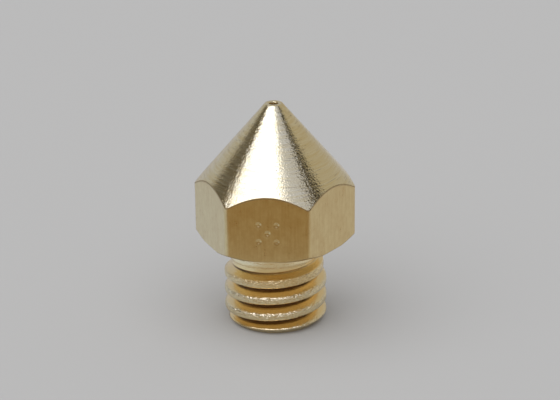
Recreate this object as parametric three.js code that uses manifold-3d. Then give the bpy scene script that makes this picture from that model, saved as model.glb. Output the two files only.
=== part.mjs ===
// A brass extruder nozzle for a desktop 3D printer: one piece, turned, drilled and threaded from
// hexagonal bar. Millimetres, +Z up. The threaded end stands on Z = 0, the tip points up, and the
// wrench flat with the size mark faces -Y.

import * as THREE from 'three';
import { mergeVertices } from 'three/addons/utils/BufferGeometryUtils.js';
import Module from 'manifold-3d';

const wasm = await Module();
wasm.setup();

// Overall sizes
const overallLength = 13;
const shankLength = 5;
const acrossFlats = 8;

// Wrench hexagon
const edgeRadius = 0.3; // the bar's own rounded edges
const chamferAngle = 30; // underside chamfer, in degrees from the shoulder plane
const chamferInset = 0.05; // shoulder circle outside the flats' inscribed circle

// Cone and tip
const coneAngle = 80; // included angle, in degrees
const tipDiameter = 1;

// M6 thread with 1 mm pitch, its crest a little under the nominal 6 mm
const majorDiameter = 5.9;
const pitch = 1;
const threadDepth = 0.54;
const flankAngle = 30; // from the plane square to the axis, in degrees
const crestWidth = 0.36; // wide, because the bar is turned under size before threading
const crestCrown = 0.03; // how far the crest's middle stands above its edges
const firstCrest = 0.4; // height of the first crest where it crosses the +X side
const endBevel = 0.45;

// Plain neck between the thread and the shoulder, which the last turn's crest fades down to
const neckLength = 0.85;
const neckStep = 0.09; // how far the neck stands above the thread's root
const fadeLength = 1.15;
const neckSeat = 0.02; // how far the faded crest ends inside the neck

// Filament path
const boreDiameter = 2; // for 1.75 mm filament
const boreTaper = 60; // included angle, in degrees
const orificeDiameter = 0.5;
const orificeLength = 0.8;
const entryBevel = 0.3;

// Size mark: five round punch marks, like the five on a die
const punchDiameter = 0.36;
const punchDepth = 0.06;
const punchSpacing = 0.5; // from the middle mark, across and up

// Smoothness
const turnedSegments = 96;
const boreSegments = 40;
const threadSegments = 48;
const edgeSegments = 3;
const punchSegments = 12;
const cutterMargin = 0.3; // how far a cutter or blank runs past what it cuts

const tipRadius = tipDiameter / 2;
const threadRadius = majorDiameter / 2;
const rootRadius = threadRadius - threadDepth;
const neckRadius = rootRadius + neckStep;
const boreRadius = boreDiameter / 2;
const orificeRadius = orificeDiameter / 2;
const coneSlope = Math.tan(THREE.MathUtils.degToRad(coneAngle / 2));
const chamferSlope = Math.tan(THREE.MathUtils.degToRad(chamferAngle));
const sharpCorner = acrossFlats / 2 / Math.cos(Math.PI / 6);
const cornerRadius = sharpCorner - edgeRadius * (1 / Math.cos(Math.PI / 6) - 1);
const chamferRadius = acrossFlats / 2 + chamferInset;

// Heights where the hexagon's corners start and end
const cornerBottom = shankLength + (cornerRadius - chamferRadius) * chamferSlope;
const cornerTop = overallLength - (cornerRadius - tipRadius) / coneSlope;

function solid(geometry) {
  const bare = geometry.clone();
  bare.deleteAttribute('normal');
  bare.deleteAttribute('uv');
  const merged = mergeVertices(bare, 1e-5);
  return new wasm.Manifold(new wasm.Mesh({
    numProp: 3,
    vertProperties: new Float32Array(merged.attributes.position.array),
    triVerts: new Uint32Array(merged.index.array),
  }));
}

// A solid of revolution about Z, from [radius, height] points that start and end on the axis.
function turned(profile, segments) {
  const points = profile.map(([radius, height]) => new THREE.Vector2(radius, height));
  const geometry = new THREE.LatheGeometry(points, segments);
  return solid(geometry.rotateX(Math.PI / 2));
}

// Hexagonal bar with rounded edges, two flats square to Y.
function hexBar(from, to) {
  const filletCentre = sharpCorner - edgeRadius / Math.cos(Math.PI / 6);
  const outline = [];
  for (let corner = 0; corner < 6; corner += 1) {
    const direction = corner * Math.PI / 3;
    for (let step = 0; step <= edgeSegments; step += 1) {
      const turn = direction + (step / edgeSegments - 0.5) * Math.PI / 3;
      outline.push(new THREE.Vector2(
        filletCentre * Math.cos(direction) + edgeRadius * Math.cos(turn),
        filletCentre * Math.sin(direction) + edgeRadius * Math.sin(turn),
      ));
    }
  }
  const bar = new THREE.ExtrudeGeometry(new THREE.Shape(outline), { depth: to - from, bevelEnabled: false });
  return solid(bar.translate(0, 0, from));
}

// Collar and cone: the bar turned down to a cone above and a chamfer below.
function makeHead() {
  const wide = cornerRadius + cutterMargin;
  const envelope = turned([
    [0, shankLength],
    [chamferRadius, shankLength],
    [wide, shankLength + (wide - chamferRadius) * chamferSlope],
    [wide, overallLength - (wide - tipRadius) / coneSlope],
    [tipRadius, overallLength],
    [0, overallLength],
  ], turnedSegments);
  return hexBar(shankLength - cutterMargin, overallLength + cutterMargin).intersect(envelope);
}

// Radius of the crest where it stands at this height: full, then fading down to the neck.
function crestRadiusAt(height) {
  const faded = (height - (shankLength - neckLength - fadeLength)) / fadeLength;
  const share = THREE.MathUtils.clamp(faded, 0, 1);
  return THREE.MathUtils.lerp(threadRadius, neckRadius - neckSeat, share);
}

// One pitch of the thread as [height from the crest's middle, radius], with the crest cut to this radius.
function threadProfile(crestRadius) {
  const flankSlope = Math.tan(THREE.MathUtils.degToRad(flankAngle));
  const halfCrest = crestWidth / 2 + (threadRadius - crestRadius) * flankSlope;
  const toRoot = crestWidth / 2 + threadDepth * flankSlope;
  return [
    [-toRoot, rootRadius],
    [-halfCrest, crestRadius - crestCrown],
    [0, crestRadius],
    [halfCrest, crestRadius - crestCrown],
    [toRoot, rootRadius],
  ];
}

// A right-hand screw of whole pitches that covers the shank, closed by a fan at each end.
function makeScrew() {
  const pitchesBelow = Math.ceil(firstCrest / pitch) + 2;
  const pitches = pitchesBelow + Math.ceil(shankLength / pitch) + 2;
  const start = firstCrest - pitchesBelow * pitch;
  const perPitch = threadProfile(threadRadius).length;
  const rows = pitches * perPitch;
  const ring = threadSegments;
  const positions = [];
  for (let row = 0; row <= rows; row += 1) {
    for (let step = 0; step < ring; step += 1) {
      const crestHeight = start + (Math.floor(row / perPitch) + step / ring) * pitch;
      const [height, radius] = threadProfile(crestRadiusAt(crestHeight))[row % perPitch];
      const turn = 2 * Math.PI * step / ring;
      positions.push(radius * Math.cos(turn), radius * Math.sin(turn), crestHeight + height);
    }
  }
  // The end of one turn is the start of the row one pitch up.
  const vertex = (row, step) => (
    step < ring ? row * ring + step : (row + perPitch) * ring + step - ring
  );
  const triangles = [];
  const lastRow = rows - perPitch;
  for (let row = 0; row < rows; row += 1) {
    const steps = row < lastRow ? ring : ring - 1;
    for (let step = 0; step < steps; step += 1) {
      triangles.push(vertex(row, step), vertex(row, step + 1), vertex(row + 1, step + 1));
      triangles.push(vertex(row, step), vertex(row + 1, step + 1), vertex(row + 1, step));
    }
  }
  const bottomEdge = [];
  for (let step = 0; step <= ring; step += 1) bottomEdge.push(vertex(0, step));
  for (let row = perPitch - 1; row > 0; row -= 1) bottomEdge.push(vertex(row, 0));
  const topEdge = [];
  for (let step = 0; step < ring; step += 1) topEdge.push(vertex(rows, step));
  for (let row = rows - 1; row >= lastRow; row -= 1) topEdge.push(vertex(row, ring - 1));
  fan(bottomEdge.reverse(), start, positions, triangles);
  fan(topEdge, start + pitches * pitch, positions, triangles);
  const geometry = new THREE.BufferGeometry();
  geometry.setAttribute('position', new THREE.Float32BufferAttribute(positions, 3));
  geometry.setIndex(triangles);
  return solid(geometry);
}

// Triangles from a new point on the axis to each edge of a closed loop.
function fan(loop, height, positions, triangles) {
  const centre = positions.length / 3;
  positions.push(0, 0, height);
  loop.forEach((corner, index) => {
    triangles.push(centre, corner, loop[(index + 1) % loop.length]);
  });
}

// Threaded shank: the screw bevelled at its free end, and a plain neck up to the shoulder.
function makeShank() {
  const wide = threadRadius + cutterMargin;
  const overlap = shankLength + cutterMargin;
  const blank = turned([
    [0, 0],
    [threadRadius - endBevel, 0],
    [wide, wide - threadRadius + endBevel],
    [wide, overlap],
    [0, overlap],
  ], turnedSegments);
  const neck = turned([
    [0, shankLength - neckLength],
    [neckRadius, shankLength - neckLength],
    [neckRadius, overlap],
    [0, overlap],
  ], turnedSegments);
  return makeScrew().intersect(blank).add(neck);
}

// Filament bore, its taper and the orifice, as one cutter.
function makeBore() {
  const taperTop = overallLength - orificeLength;
  const taperHeight = (boreRadius - orificeRadius) / Math.tan(THREE.MathUtils.degToRad(boreTaper / 2));
  return turned([
    [0, -cutterMargin],
    [boreRadius + entryBevel + cutterMargin, -cutterMargin],
    [boreRadius, entryBevel],
    [boreRadius, taperTop - taperHeight],
    [orificeRadius, taperTop],
    [orificeRadius, overallLength + cutterMargin],
    [0, overallLength + cutterMargin],
  ], boreSegments);
}

// Five shallow round punch marks in the middle of the -Y flat.
function makePunches() {
  const halfWidth = punchDiameter / 2;
  const ballRadius = (halfWidth ** 2 + punchDepth ** 2) / (2 * punchDepth);
  const ball = solid(new THREE.SphereGeometry(ballRadius, punchSegments, punchSegments).rotateX(Math.PI / 2));
  const middle = (cornerBottom + cornerTop) / 2;
  const places = [[0, 0], [-1, -1], [1, -1], [-1, 1], [1, 1]];
  return places.map(([across, up]) => ball.translate([
    across * punchSpacing,
    -acrossFlats / 2 - ballRadius + punchDepth,
    middle + up * punchSpacing,
  ]));
}

function makeNozzle() {
  let body = makeHead().add(makeShank()).subtract(makeBore());
  for (const punch of makePunches()) body = body.subtract(punch);
  const { vertProperties, triVerts } = body.getMesh();
  const geometry = new THREE.BufferGeometry();
  geometry.setAttribute('position', new THREE.BufferAttribute(vertProperties, 3));
  geometry.setIndex(new THREE.BufferAttribute(triVerts, 1));
  geometry.computeVertexNormals();
  const brass = new THREE.MeshStandardMaterial({ color: 0xc8a452, roughness: 0.3, metalness: 1 });
  const nozzle = new THREE.Mesh(geometry, brass);
  nozzle.name = 'nozzle';
  return nozzle;
}

const group = new THREE.Group();
group.add(makeNozzle());

export default group;
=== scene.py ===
"""A brass extruder nozzle standing on its threaded end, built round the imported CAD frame.

Sizes are in millimetres until a mesh, a light or the camera is made, when MM turns them into metres.
The flat with the punch marks faces -Y, and the camera looks from a little to the right of it.
"""

import math

import bpy
from mathutils import Matrix, Vector


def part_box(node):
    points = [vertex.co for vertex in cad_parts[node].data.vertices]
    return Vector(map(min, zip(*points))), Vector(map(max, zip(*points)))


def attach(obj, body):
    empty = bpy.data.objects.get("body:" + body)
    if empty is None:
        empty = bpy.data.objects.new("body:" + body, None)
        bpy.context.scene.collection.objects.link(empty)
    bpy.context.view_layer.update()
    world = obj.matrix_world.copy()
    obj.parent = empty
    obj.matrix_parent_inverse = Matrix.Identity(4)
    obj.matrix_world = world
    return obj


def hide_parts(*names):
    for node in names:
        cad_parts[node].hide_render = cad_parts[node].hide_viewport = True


MM = 0.001

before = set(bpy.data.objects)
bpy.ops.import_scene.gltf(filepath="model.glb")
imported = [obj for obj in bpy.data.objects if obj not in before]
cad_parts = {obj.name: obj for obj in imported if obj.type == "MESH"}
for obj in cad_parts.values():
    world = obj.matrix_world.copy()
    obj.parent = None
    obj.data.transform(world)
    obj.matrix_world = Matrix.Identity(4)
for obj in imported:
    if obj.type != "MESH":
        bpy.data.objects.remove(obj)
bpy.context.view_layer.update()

# Sizes that the frame gives
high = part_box("nozzle")[1]
LENGTH = high.z / MM
FLAT_RADIUS = high.y / MM

# Sizes that match the CAD model
SHANK_LENGTH = 5.0
HEX_EDGE_RADIUS = 0.3
CHAMFER_ANGLE = math.radians(30)
CHAMFER_INSET = 0.05
CONE_HALF_ANGLE = math.radians(40)
TIP_RADIUS = 0.5
CREST_RADIUS = 2.95
PITCH = 1.0
THREAD_DEPTH = 0.54
FLANK_ANGLE = math.radians(30)
CREST_WIDTH = 0.36
FIRST_CREST = 0.4
END_BEVEL = 0.45
NECK_LENGTH = 0.85
NECK_STEP = 0.09
FADE_LENGTH = 1.15
NECK_SEAT = 0.02
BORE_RADIUS = 1.0
BORE_HALF_TAPER = math.radians(30)
ORIFICE_RADIUS = 0.25
ORIFICE_LENGTH = 0.8
ENTRY_BEVEL = 0.3
PUNCH_RADIUS = 0.18
PUNCH_DEPTH = 0.06
PUNCH_SPACING = 0.5

ROOT_RADIUS = CREST_RADIUS - THREAD_DEPTH
NECK_RADIUS = ROOT_RADIUS + NECK_STEP
NECK_BOTTOM = SHANK_LENGTH - NECK_LENGTH
SHARP_CORNER = FLAT_RADIUS / math.cos(math.pi / 6)
HEX_FILLET_CENTRE = SHARP_CORNER - HEX_EDGE_RADIUS / math.cos(math.pi / 6)
CHAMFER_RADIUS = FLAT_RADIUS + CHAMFER_INSET

# Small edges that a real part has and the CAD model leaves sharp
CONE_EDGE = 0.03
COLLAR_EDGE = 0.04
LAND_EDGE = 0.05
ORIFICE_EDGE = 0.08
SHOULDER_FILLET = 0.1
RIM_EDGE = 0.04
BORE_EDGE = 0.03
LEAST_CHAMFER = 0.05
THREAD_ROUND = 0.05
CREST_CROWN = 0.03
GROOVE_FADE = 0.35
PUNCH_WALL = 0.15
PUNCH_LIP = 0.008
PUNCH_LIP_WIDTH = 0.04

# Columns of the mesh, in degrees: the usual step, the step across the punch marks and the step at the
# hexagon's edges, and how far the last two reach to each side
COARSE_STEP = 2.0
MARK_STEP = 0.42
EDGE_STEP = 0.36
MARK_REACH = 11.5
EDGE_REACH = 2.6
MARK_ANGLE = 270.0

# Rows of the mesh
LAND_ROWS = 2
CONE_ROWS = 22
FLAT_ROWS = 96
CHAMFER_ROWS = 3
SHOULDER_ROWS = 4
NECK_ROWS = 8
SHANK_ROWS = 124
RIM_ROWS = 4
BORE_ROWS = 4
TAPER_ROWS = 2
ORIFICE_ROWS = 2
END_EASE = 1.3


def hex_radius(angle):
    """Distance from the axis to the bar's outline in this direction."""
    from_corner = abs((angle + math.pi / 6) % (math.pi / 3) - math.pi / 6)
    tangent = math.atan2(HEX_EDGE_RADIUS / 2, HEX_FILLET_CENTRE + HEX_EDGE_RADIUS * math.cos(math.pi / 6))
    if from_corner >= tangent:
        return FLAT_RADIUS / math.cos(math.pi / 6 - from_corner)
    across = HEX_FILLET_CENTRE * math.sin(from_corner)
    return HEX_FILLET_CENTRE * math.cos(from_corner) + math.sqrt(HEX_EDGE_RADIUS ** 2 - across ** 2)


def soft_min(a, b, width):
    blend = max(width - abs(a - b), 0.0)
    return min(a, b) - blend * blend / (4 * width)


def soft_max(a, b, width):
    return -soft_min(-a, -b, width)


def smooth_step(value):
    value = min(max(value, 0.0), 1.0)
    return value * value * (3 - 2 * value)


def crest_radius(crest_height):
    """Radius of the crest where it stands at this height: full, then fading down into the neck."""
    faded = (crest_height - (NECK_BOTTOM - FADE_LENGTH)) / FADE_LENGTH
    share = min(max(faded, 0.0), 1.0)
    return CREST_RADIUS + (NECK_RADIUS - NECK_SEAT - CREST_RADIUS) * share


def shank_radius(height, angle):
    """Radius of the threaded shank at this height and angle: a right-hand thread, bevelled at its end."""
    crest_middle = FIRST_CREST + PITCH * angle / (2 * math.pi)
    offset = (height - crest_middle + PITCH / 2) % PITCH - PITCH / 2
    crown = CREST_CROWN * min((offset / (CREST_WIDTH / 2)) ** 2, 1.0)
    flank = CREST_RADIUS - CREST_CROWN - (abs(offset) - CREST_WIDTH / 2) / math.tan(FLANK_ANGLE)
    radius = soft_min(crest_radius(height - offset) - crown, flank, THREAD_ROUND)
    fade = smooth_step((height - NECK_BOTTOM + GROOVE_FADE) / GROOVE_FADE)
    radius = soft_max(radius, ROOT_RADIUS + NECK_STEP * fade, THREAD_ROUND)
    bevel = CREST_RADIUS - END_BEVEL + height
    return soft_min(radius, bevel, THREAD_ROUND)


def column_angles():
    """The mesh's columns: closer at the hexagon's edges and across the punch marks than elsewhere."""
    angles = []
    angle = 0.0
    while angle < 360.0:
        from_edge = abs((angle + 30.0) % 60.0 - 30.0)
        step = COARSE_STEP
        if abs(angle - MARK_ANGLE) < MARK_REACH:
            step = MARK_STEP
        if from_edge < EDGE_REACH:
            step = EDGE_STEP
        angles.append(math.radians(angle))
        angle += step
        if 360.0 - angle < EDGE_STEP / 2:
            break
    return angles


def spread(start, end, count, ease=1.0):
    """This many points between start and end, closer together at both ends when ease is over 1."""
    between = []
    for index in range(1, count + 1):
        share = index / (count + 1)
        eased = share ** ease / (share ** ease + (1 - share) ** ease)
        between.append((start[0] + (end[0] - start[0]) * eased, start[1] + (end[1] - start[1]) * eased))
    return between


def corner_arc(before, corner, after, radius, steps):
    """A rounded corner as steps + 1 points, from the line before it to the line after it."""
    to_before = Vector(before) - Vector(corner)
    to_after = Vector(after) - Vector(corner)
    reach = min(radius, to_before.length * 0.4, to_after.length * 0.4)
    start = Vector(corner) + to_before.normalized() * reach
    end = Vector(corner) + to_after.normalized() * reach
    points = []
    for index in range(steps + 1):
        t = index / steps
        point = start * (1 - t) ** 2 + Vector(corner) * 2 * t * (1 - t) + end * t ** 2
        points.append((point.x, point.y))
    return points


def section(angle):
    """The solid's closed section in the half plane at this angle, as (radius, height, finish) points.

    It runs out over the tip, down the cone, the flat and the shank, and back up inside the bore.
    """
    outer = hex_radius(angle)
    cone_bottom = LENGTH - (outer - TIP_RADIUS) / math.tan(CONE_HALF_ANGLE)
    inset = min(CHAMFER_RADIUS, outer - LEAST_CHAMFER)
    collar_bottom = SHANK_LENGTH + (outer - inset) * math.tan(CHAMFER_ANGLE)
    orifice = (ORIFICE_RADIUS, LENGTH)
    land = (TIP_RADIUS, LENGTH)
    cone_edge = (outer, cone_bottom)
    collar_edge = (outer, collar_bottom)
    shoulder_edge = (inset, SHANK_LENGTH)
    neck_top = (NECK_RADIUS, SHANK_LENGTH)
    neck_bottom = (NECK_RADIUS, NECK_BOTTOM)
    taper_top = LENGTH - ORIFICE_LENGTH
    taper_bottom = taper_top - (BORE_RADIUS - ORIFICE_RADIUS) / math.tan(BORE_HALF_TAPER)
    rim = (CREST_RADIUS - END_BEVEL, 0.0)
    entry = (BORE_RADIUS + ENTRY_BEVEL, 0.0)
    bore_start = (BORE_RADIUS, ENTRY_BEVEL)
    bore_end = (BORE_RADIUS, taper_bottom)
    orifice_end = (ORIFICE_RADIUS, taper_top)

    points = []

    def add(part, finish):
        points.extend((radius, height, finish) for radius, height in part)

    orifice_arc = corner_arc(orifice_end, orifice, land, ORIFICE_EDGE, 4)
    land_arc = corner_arc(orifice, land, cone_edge, LAND_EDGE, 3)
    cone_arc = corner_arc(land, cone_edge, collar_edge, CONE_EDGE, 3)
    collar_arc = corner_arc(cone_edge, collar_edge, shoulder_edge, COLLAR_EDGE, 3)
    shoulder_arc = corner_arc(collar_edge, shoulder_edge, neck_top, COLLAR_EDGE, 2)
    neck_arc = corner_arc(shoulder_edge, neck_top, neck_bottom, SHOULDER_FILLET, 4)
    add(orifice_arc, "tip")
    add(spread(orifice_arc[-1], land_arc[0], LAND_ROWS), "tip")
    add(land_arc, "tip")
    add(spread(land_arc[-1], cone_arc[0], CONE_ROWS, END_EASE), "cone")
    add(cone_arc, "edge")
    add(spread(cone_arc[-1], collar_arc[0], FLAT_ROWS), "flat")
    add(collar_arc, "edge")
    add(spread(collar_arc[-1], shoulder_arc[0], CHAMFER_ROWS), "flat")
    add(shoulder_arc, "shank")
    add(spread(shoulder_arc[-1], neck_arc[0], SHOULDER_ROWS, END_EASE), "shank")
    add(neck_arc, "shank")
    add(spread(neck_arc[-1], neck_bottom, NECK_ROWS), "shank")
    for row in range(SHANK_ROWS + 1):
        height = NECK_BOTTOM - (NECK_BOTTOM - RIM_EDGE) * row / SHANK_ROWS
        points.append((shank_radius(height, angle), height, "shank"))
    last_radius = points[-1][0]
    rim_arc = corner_arc((last_radius + RIM_EDGE, RIM_EDGE * 2), rim, entry, RIM_EDGE, 3)[1:]
    add(rim_arc, "shank")
    entry_arc = corner_arc(rim, entry, bore_start, BORE_EDGE, 2)
    start_arc = corner_arc(entry, bore_start, bore_end, BORE_EDGE, 2)
    end_arc = corner_arc(bore_start, bore_end, orifice_end, BORE_EDGE, 2)
    add(spread(rim_arc[-1], entry_arc[0], RIM_ROWS, END_EASE), "shank")
    add(entry_arc, "bore")
    add(start_arc, "bore")
    add(spread(start_arc[-1], end_arc[0], BORE_ROWS), "bore")
    add(end_arc, "bore")
    add(spread(end_arc[-1], orifice_end, TAPER_ROWS), "bore")
    add([orifice_end], "bore")
    add(spread(orifice_end, orifice_arc[0], ORIFICE_ROWS), "bore")
    return points


def punch_push(x, z, middle):
    """How far the five round punch marks push the front flat in, and their lips out."""
    push = 0.0
    for across, up in ((0, 0), (-1, -1), (1, -1), (-1, 1), (1, 1)):
        distance = math.hypot(x - across * PUNCH_SPACING, z - middle - up * PUNCH_SPACING)
        push += PUNCH_DEPTH * smooth_step((PUNCH_RADIUS - distance) / PUNCH_WALL)
        lip = (distance - PUNCH_RADIUS - PUNCH_LIP_WIDTH / 2) / PUNCH_LIP_WIDTH
        push -= PUNCH_LIP * math.exp(-lip * lip * 4)
    return push


FINISHES = ("tip", "cone", "edge", "flat", "shank", "bore")


def make_nozzle():
    """One closed mesh of quads: a ring of sections, joined point to point."""
    angles = column_angles()
    corner = hex_radius(0.0)
    cone_bottom = LENGTH - (corner - TIP_RADIUS) / math.tan(CONE_HALF_ANGLE)
    collar_bottom = SHANK_LENGTH + (corner - CHAMFER_RADIUS) * math.tan(CHAMFER_ANGLE)
    mark_middle = (cone_bottom + collar_bottom) / 2
    vertices = []
    finishes = []
    for angle in angles:
        column = section(angle)
        finishes = [finish for _, _, finish in column]
        for radius, height, finish in column:
            x = radius * math.cos(angle)
            y = radius * math.sin(angle)
            if finish == "flat" and y < 0 and abs(x) < FLAT_RADIUS / 2:
                y += punch_push(x, height, mark_middle)
            vertices.append((x * MM, y * MM, height * MM))
    rows = len(finishes)
    columns = len(angles)
    faces = []
    face_finishes = []
    for column in range(columns):
        here = column * rows
        there = (column + 1) % columns * rows
        for row in range(rows):
            below = (row + 1) % rows
            faces.append((here + row, here + below, there + below, there + row))
            face_finishes.append(FINISHES.index(finishes[row]))
    mesh = bpy.data.meshes.new("nozzle_brass")
    mesh.from_pydata(vertices, [], faces)
    mesh.polygons.foreach_set("material_index", face_finishes)
    mesh.polygons.foreach_set("use_smooth", [True] * len(faces))
    mesh.update()
    piece = bpy.data.objects.new("nozzle_brass", mesh)
    bpy.context.scene.collection.objects.link(piece)
    return piece


class Nodes:
    """A material's node tree with short calls for the few nodes that the brass needs."""

    def __init__(self, name):
        self.material = bpy.data.materials.new(name)
        self.material.use_nodes = True
        self.tree = self.material.node_tree
        self.shader = self.tree.nodes["Principled BSDF"]

    def node(self, kind, inputs=None, **settings):
        made = self.tree.nodes.new(kind)
        for key, value in settings.items():
            setattr(made, key, value)
        for key, value in (inputs or {}).items():
            self.put(made.inputs[key], value)
        return made

    def put(self, socket, value):
        if isinstance(value, bpy.types.NodeSocket):
            self.tree.links.new(value, socket)
        else:
            socket.default_value = value

    def math(self, operation, *values):
        made = self.node("ShaderNodeMath", operation=operation)
        for index, value in enumerate(values):
            self.put(made.inputs[index], value)
        return made.outputs[0]

    def place(self):
        """Object coordinates in millimetres."""
        coordinates = self.node("ShaderNodeTexCoord")
        scaled = self.node("ShaderNodeVectorMath", operation="SCALE")
        self.put(scaled.inputs[0], coordinates.outputs["Object"])
        scaled.inputs["Scale"].default_value = 1 / MM
        return scaled.outputs[0]

    def round_place(self, around, along, twist=0.0):
        """Noise places on a turned part: around sets how fast they change round it, along how fast down it.

        With a twist, they follow a helix that climbs twist mm in each turn.
        """
        split = self.node("ShaderNodeSeparateXYZ", {0: self.place()})
        x, y, z = split.outputs
        squares = self.math("ADD", self.math("MULTIPLY", x, x), self.math("MULTIPLY", y, y))
        radius = self.math("SQRT", squares)
        height = z
        if twist:
            turn = self.math("ARCTAN2", y, x)
            height = self.math("SUBTRACT", z, self.math("MULTIPLY", turn, twist / (2 * math.pi)))
        joined = self.node("ShaderNodeCombineXYZ")
        self.put(joined.inputs[0], self.math("MULTIPLY", self.math("DIVIDE", x, radius), around))
        self.put(joined.inputs[1], self.math("MULTIPLY", self.math("DIVIDE", y, radius), around))
        self.put(joined.inputs[2], self.math("MULTIPLY", height, along))
        return joined.outputs[0]

    def stretched_place(self, x, y, z):
        """Noise places that change this fast along each axis, per mm."""
        scaled = self.node("ShaderNodeVectorMath", operation="MULTIPLY")
        self.put(scaled.inputs[0], self.place())
        scaled.inputs[1].default_value = (x, y, z)
        return scaled.outputs[0]

    def noise(self, place, detail=2.0, roughness=0.5):
        made = self.node("ShaderNodeTexNoise", {"Vector": place, "Scale": 1.0, "Detail": detail,
                                                "Roughness": roughness})
        return made.outputs["Fac"]

    def ramp(self, value, low_value, high_value, low_at, high_at):
        """From low_value where value is low_at, in a straight line to high_value where it is high_at."""
        made = self.node("ShaderNodeMapRange", {"Value": value, "From Min": low_at, "From Max": high_at,
                                                "To Min": low_value, "To Max": high_value})
        return made.outputs[0]

    def mixed(self, share, first, second):
        made = self.node("ShaderNodeMix", data_type="RGBA")
        self.put(made.inputs["Factor"], share)
        self.put(made.inputs["A"], first)
        self.put(made.inputs["B"], second)
        return made.outputs["Result"]

    def bump(self, height, strength, distance):
        made = self.node("ShaderNodeBump", {"Height": height, "Strength": strength, "Distance": distance * MM})
        return made.outputs["Normal"]

    def finish(self, colour, roughness, normal=None, anisotropy=0.0, turn=0.0):
        self.put(self.shader.inputs["Base Color"], colour)
        self.put(self.shader.inputs["Roughness"], roughness)
        self.shader.inputs["Metallic"].default_value = 1.0
        if normal is not None:
            self.put(self.shader.inputs["Normal"], normal)
        if anisotropy:
            self.shader.inputs["Anisotropic"].default_value = anisotropy
            self.shader.inputs["Anisotropic Rotation"].default_value = turn
            tangent = self.node("ShaderNodeTangent", direction_type="RADIAL", axis="Z")
            self.put(self.shader.inputs["Tangent"], tangent.outputs[0])
        return self.material


BRASS = (0.72, 0.56, 0.27, 1.0)
BRASS_PALE = (0.78, 0.65, 0.38, 1.0)
BRASS_DEEP = (0.60, 0.42, 0.18, 1.0)
# Darker brass painted on the broken edges as shade, so their rounding shows no bright line
EDGE_SHADE_BRASS = (0.48, 0.35, 0.17, 1.0)
SCORE_BRASS = (0.30, 0.24, 0.16, 1.0)
THREAD_BRASS = (0.84, 0.62, 0.29, 1.0)
# Paler brass painted on the crests and the neck as a reflection of the pale floor
CREST_PAINTED_SHEEN = (0.85, 0.71, 0.43, 1.0)
# Painted shade: a near-black brown for the dark line down in the thread's groove
GROOVE_PAINTED_SHADE = (0.09, 0.028, 0.006, 1.0)

# Most of a noise lies between these two
NOISE_LOW = 0.3
NOISE_HIGH = 0.7

# The lathe's marks run round the cone, so its gloss is stretched a quarter turn from them
LATHE_GLOSS = 0.8
LATHE_TURN = 0.25

# The thread's finish goes by how far up from its crest a place is, in pitches. Painted shade darkens the
# groove between the band's start and end, over its fade at each side, and only below the height where the
# thread runs out.
SHADE_START = 0.43
SHADE_END = 0.62
SHADE_FADE = 0.05
SHADE_TOP = (3.5, 3.9)
CHATTER_FROM_GROOVE = (0.22, 0.31)
CHATTER_TOP = (3.6, 3.9)
# Where the painted reflection goes: paler near the crest, less so towards the top of the thread where it is
# shaded, and paler on the neck
SHEEN_FROM_GROOVE = (0.22, 0.33)
SHEEN_TOP = (2.7, 3.2)
NECK_SHEEN_START = (3.8, 4.2)


def turned_brass():
    """The cone: fine rings left by the lathe tool."""
    nodes = Nodes("brass_turned")
    fine = nodes.noise(nodes.round_place(1.6, 11.0), 2.0, 0.6)
    broad = nodes.noise(nodes.round_place(0.8, 4.0), 2.0)
    scores = nodes.noise(nodes.round_place(2.5, 17.0), 1.0)
    speckle = nodes.noise(nodes.stretched_place(8.0, 8.0, 13.0), 1.0, 0.6)
    rings = nodes.math("ADD", nodes.math("MULTIPLY", fine, 0.8), nodes.math("MULTIPLY", broad, 0.4))
    rings = nodes.math("ADD", rings, nodes.math("MULTIPLY", speckle, 1.4))
    normal = nodes.bump(rings, 0.5, 0.02)
    colour = nodes.mixed(nodes.ramp(fine, 0.0, 1.0, NOISE_LOW, NOISE_HIGH), BRASS, BRASS_PALE)
    colour = nodes.mixed(nodes.ramp(scores, 0.0, 0.4, 0.35, 0.29), colour, SCORE_BRASS)
    rough = nodes.ramp(fine, 0.14, 0.21, NOISE_LOW, NOISE_HIGH)
    return nodes.finish(colour, rough, normal, LATHE_GLOSS, LATHE_TURN)


def drawn_brass():
    """The wrench flats: drawn bar, faintly streaked along its length and dulled in patches."""
    nodes = Nodes("brass_drawn")
    streaks = nodes.noise(nodes.stretched_place(9.0, 9.0, 0.6), 3.0, 0.6)
    patches = nodes.noise(nodes.stretched_place(2.2, 2.2, 1.7), 4.0, 0.7)
    grain = nodes.noise(nodes.stretched_place(9.0, 9.0, 9.0), 1.0)
    height = nodes.math("ADD", nodes.math("MULTIPLY", streaks, 0.3), nodes.math("MULTIPLY", grain, 0.5))
    normal = nodes.bump(height, 0.25, 0.02)
    worn = nodes.math("ADD", nodes.math("MULTIPLY", patches, 0.6), nodes.math("MULTIPLY", streaks, 0.4))
    colour = nodes.mixed(nodes.ramp(worn, 0.0, 0.9, 0.36, 0.64), BRASS_DEEP, BRASS)
    rough = nodes.ramp(worn, 0.26, 0.34, NOISE_LOW, NOISE_HIGH)
    return nodes.finish(colour, rough, normal)


def edge_brass():
    """The narrow broken edges between the flats and what is turned: nicked and dull, with painted shade in
    their darker colour.
    """
    nodes = Nodes("brass_edge")
    nicks = nodes.noise(nodes.stretched_place(6.0, 6.0, 6.0), 3.0, 0.7)
    normal = nodes.bump(nicks, 0.4, 0.03)
    return nodes.finish(EDGE_SHADE_BRASS, nodes.ramp(nicks, 0.36, 0.55, NOISE_LOW, NOISE_HIGH), normal)


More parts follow.
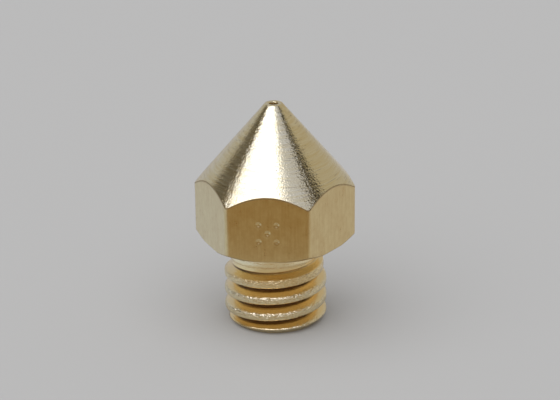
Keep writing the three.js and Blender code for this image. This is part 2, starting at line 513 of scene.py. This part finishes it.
def threaded_brass():
    """The shank: cut by a tool that leaves chatter along the crest, with painted shade down in the groove."""
    nodes = Nodes("brass_threaded")
    x, y, z = nodes.node("ShaderNodeSeparateXYZ", {0: nodes.place()}).outputs
    turn = nodes.math("DIVIDE", nodes.math("ARCTAN2", y, x), 2 * math.pi)
    climbed = nodes.math("DIVIDE", nodes.math("SUBTRACT", z, FIRST_CREST), PITCH)
    above_crest = nodes.math("FRACT", nodes.math("SUBTRACT", climbed, turn))
    # Where the groove's painted shade goes, fading in and out at each side of the band
    groove = nodes.math("MULTIPLY", nodes.ramp(above_crest, 0.0, 1.0, SHADE_START, SHADE_START + SHADE_FADE),
                        nodes.ramp(above_crest, 1.0, 0.0, SHADE_END - SHADE_FADE, SHADE_END))
    groove = nodes.math("MULTIPLY", groove, nodes.ramp(z, 1.0, 0.0, *SHADE_TOP))
    from_groove = nodes.math("ABSOLUTE", nodes.math("SUBTRACT", above_crest, 0.5))
    crest = nodes.math("MULTIPLY", nodes.ramp(from_groove, 0.06, 1.0, *CHATTER_FROM_GROOVE),
                       nodes.ramp(z, 1.0, 0.2, *CHATTER_TOP))
    chatter = nodes.noise(nodes.round_place(24.0, 11.0, PITCH), 1.0, 0.6)
    lines = nodes.noise(nodes.round_place(1.5, 24.0, PITCH), 3.0, 0.6)
    cuts = nodes.math("MULTIPLY", nodes.math("SUBTRACT", chatter, 0.5), nodes.math("MULTIPLY", crest, 2.2))
    height = nodes.math("ADD", cuts, nodes.math("MULTIPLY", lines, 0.3))
    normal = nodes.bump(height, 0.9, 0.042)
    # Painted reflection: the crests are paler, less so towards the top of the thread, and the neck is painted
    # paler too
    painted_sheen = nodes.math("MULTIPLY", nodes.ramp(from_groove, 0.0, 0.9, *SHEEN_FROM_GROOVE),
                      nodes.ramp(z, 1.0, 0.35, *SHEEN_TOP))
    sheened_colour = nodes.mixed(painted_sheen, THREAD_BRASS, CREST_PAINTED_SHEEN)
    sheened_colour = nodes.mixed(nodes.ramp(z, 0.0, 0.7, *NECK_SHEEN_START), sheened_colour, CREST_PAINTED_SHEEN)
    # Painted shade darkens the groove's colour
    colour = nodes.mixed(nodes.math("MULTIPLY", groove, 0.92), sheened_colour, GROOVE_PAINTED_SHADE)
    rough = nodes.ramp(chatter, 0.10, 0.18, NOISE_LOW, NOISE_HIGH)
    rough = nodes.math("ADD", rough, nodes.math("MULTIPLY", groove, 0.08))
    return nodes.finish(colour, rough, normal)


def bored_brass():
    """Inside the bore and the orifice: dull, with a little soot."""
    nodes = Nodes("brass_bored")
    patches = nodes.noise(nodes.stretched_place(3.0, 3.0, 3.0), 3.0)
    colour = nodes.mixed(nodes.ramp(patches, 0.0, 1.0, 0.35, 0.65), BRASS_DEEP, BRASS)
    return nodes.finish(colour, nodes.ramp(patches, 0.3, 0.45, NOISE_LOW, NOISE_HIGH))


def add_materials(piece):
    turned = turned_brass()
    by_finish = {
        "tip": turned,
        "cone": turned,
        "edge": edge_brass(),
        "flat": drawn_brass(),
        "shank": threaded_brass(),
        "bore": bored_brass(),
    }
    for finish in FINISHES:
        piece.data.materials.append(by_finish[finish])


# The studio is turned so that the camera stands in front of it. Its places are in millimetres.
STUDIO_TURN = math.radians(5.862)
CAMERA_PLACE = (0.301, -100.011, 45.841)
CAMERA_TARGET = (0.301, 0.0, 7.186)
CAMERA_ROLL = math.radians(-0.604)
CAMERA_LENS = 121.07
FLOOR_COLOUR = (0.47, 0.468, 0.464, 1.0)
ROOM_COLOUR = (0.50, 0.50, 0.51, 1.0)
KEY_PLACE = (-110, -190, 480)
KEY_ANGLE = math.radians(95)
KEY_STRENGTH = 1.92
DOME_MIDDLE = 8.0
DOME_RADIUS = 120.0
DOME_STEPS = 12


def turned_place(x, y, z):
    """A studio place, as the camera sees right, away and up, in the CAD frame in metres."""
    return Matrix.Rotation(STUDIO_TURN, 3, "Z") @ Vector((x, y, z)) * MM


def make_camera():
    camera = bpy.data.cameras.new("camera")
    camera.sensor_width = 36.0
    camera.lens = CAMERA_LENS
    camera.clip_start = 0.001
    holder = bpy.data.objects.new("camera", camera)
    bpy.context.scene.collection.objects.link(holder)
    place = turned_place(*CAMERA_PLACE)
    target = turned_place(*CAMERA_TARGET)
    roll = Matrix.Rotation(CAMERA_ROLL, 4, "Z")
    look = (target - place).to_track_quat("-Z", "Y").to_matrix().to_4x4()
    holder.matrix_world = Matrix.Translation(place) @ look @ roll
    bpy.context.scene.camera = holder


def make_floor():
    """A plain pale floor that gives no mirror image, so no card shows on it."""
    size = 1.5
    mesh = bpy.data.meshes.new("floor")
    corners = [(-size, -size, 0), (size, -size, 0), (size, size, 0), (-size, size, 0)]
    mesh.from_pydata(corners, [], [(0, 1, 2, 3)])
    floor = bpy.data.objects.new("floor", mesh)
    bpy.context.scene.collection.objects.link(floor)
    nodes = Nodes("floor_pale")
    nodes.shader.inputs["Base Color"].default_value = FLOOR_COLOUR
    nodes.shader.inputs["Roughness"].default_value = 1.0
    nodes.shader.inputs["Specular IOR Level"].default_value = 0.0
    mesh.materials.append(nodes.material)


def make_key():
    """Even soft light from above the camera's left, which no reflection shows."""
    light = bpy.data.lights.new("key", "SUN")
    light.angle = KEY_ANGLE
    light.energy = KEY_STRENGTH
    holder = bpy.data.objects.new("key", light)
    bpy.context.scene.collection.objects.link(holder)
    holder.matrix_world = (-turned_place(*KEY_PLACE)).to_track_quat("-Z", "Y").to_matrix().to_4x4()
    holder.visible_glossy = False


def floor_card(name, across, away, height, colour):
    """A level card just above the floor, between two studio places across and two away."""
    card(name, [[(x, y, height) for y in away] for x in across], colour)


def dome_card(name, azimuths, elevations, colour):
    """A card on a dome round the part: azimuths from the camera's side to the right, in degrees."""
    columns = []
    for step in range(DOME_STEPS + 1):
        azimuth = math.radians(azimuths[0] + (azimuths[1] - azimuths[0]) * step / DOME_STEPS)
        column = []
        for elevation in elevations:
            out = DOME_RADIUS * math.cos(math.radians(elevation))
            up = DOME_RADIUS * math.sin(math.radians(elevation)) + DOME_MIDDLE
            column.append((out * math.sin(azimuth), -out * math.cos(azimuth), up))
        columns.append(column)
    card(name, columns, colour)


def card(name, columns, colour):
    """A glowing sheet through columns of studio places, which only shows in reflections."""
    rows = len(columns[0])
    vertices = [turned_place(*place) for column in columns for place in column]
    faces = []
    for column in range(len(columns) - 1):
        for row in range(rows - 1):
            here = column * rows + row
            there = here + rows
            faces.append((here, there, there + 1, here + 1))
    mesh = bpy.data.meshes.new(name)
    mesh.from_pydata(vertices, [], faces)
    sheet = bpy.data.objects.new(name, mesh)
    bpy.context.scene.collection.objects.link(sheet)
    material = bpy.data.materials.new(name)
    material.use_nodes = True
    tree = material.node_tree
    tree.nodes.clear()
    emission = tree.nodes.new("ShaderNodeEmission")
    emission.inputs["Color"].default_value = (*colour, 1.0)
    output = tree.nodes.new("ShaderNodeOutputMaterial")
    tree.links.new(emission.outputs[0], output.inputs["Surface"])
    mesh.materials.append(material)
    sheet.visible_camera = False
    sheet.visible_diffuse = False
    sheet.visible_shadow = False


def make_world():
    """A plain pale room, about as bright as the lit floor."""
    world = bpy.data.worlds.new("room")
    world.use_nodes = True
    background = world.node_tree.nodes["Background"]
    background.inputs["Color"].default_value = ROOM_COLOUR
    background.inputs["Strength"].default_value = 1.0
    bpy.context.scene.world = world


def make_studio():
    """The room, the key and the cards that give the brass its bright and dark bands."""
    make_world()
    make_key()
    floor_card("floor_front", (-90, 90), (-90, -14), 1, (0.37, 0.28, 0.155))
    floor_card("floor_left", (-90, -7), (-14, 20), 0.1, (0.60, 0.70, 0.90))
    floor_card("floor_right", (7, 90), (-14, 70), 0.1, (0.60, 0.62, 0.68))
    dome_card("softbox", (-85, 12), (37, 84), (2.3, 2.6, 3.8))
    dome_card("softbox_edge", (12, 20), (37, 84), (1.5, 1.7, 2.5))
    dome_card("softbox_fade", (20, 30), (37, 84), (0.95, 1.08, 1.6))
    dome_card("dim_right", (30, 70), (37, 84), (0.66, 0.76, 1.15))
    dome_card("front_low", (-85, 70), (-3, 37), (0.31, 0.245, 0.16))
    dome_card("dark_left", (-117, -85), (-3, 84), (0.145, 0.145, 0.15))
    dome_card("dark_left_fade", (-122, -117), (-3, 84), (0.34, 0.33, 0.34))
    dome_card("dark_right", (70, 88), (-3, 84), (0.02, 0.02, 0.02))
    dome_card("wall_left", (-180, -122), (-3, 40), (0.50, 0.54, 0.64))
    dome_card("wall_right", (88, 180), (-3, 52), (0.50, 0.50, 0.50))


nozzle = make_nozzle()
add_materials(nozzle)
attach(nozzle, "root")
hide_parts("nozzle")
make_camera()
make_floor()
make_studio()
bpy.context.scene.view_settings.view_transform = "Standard"
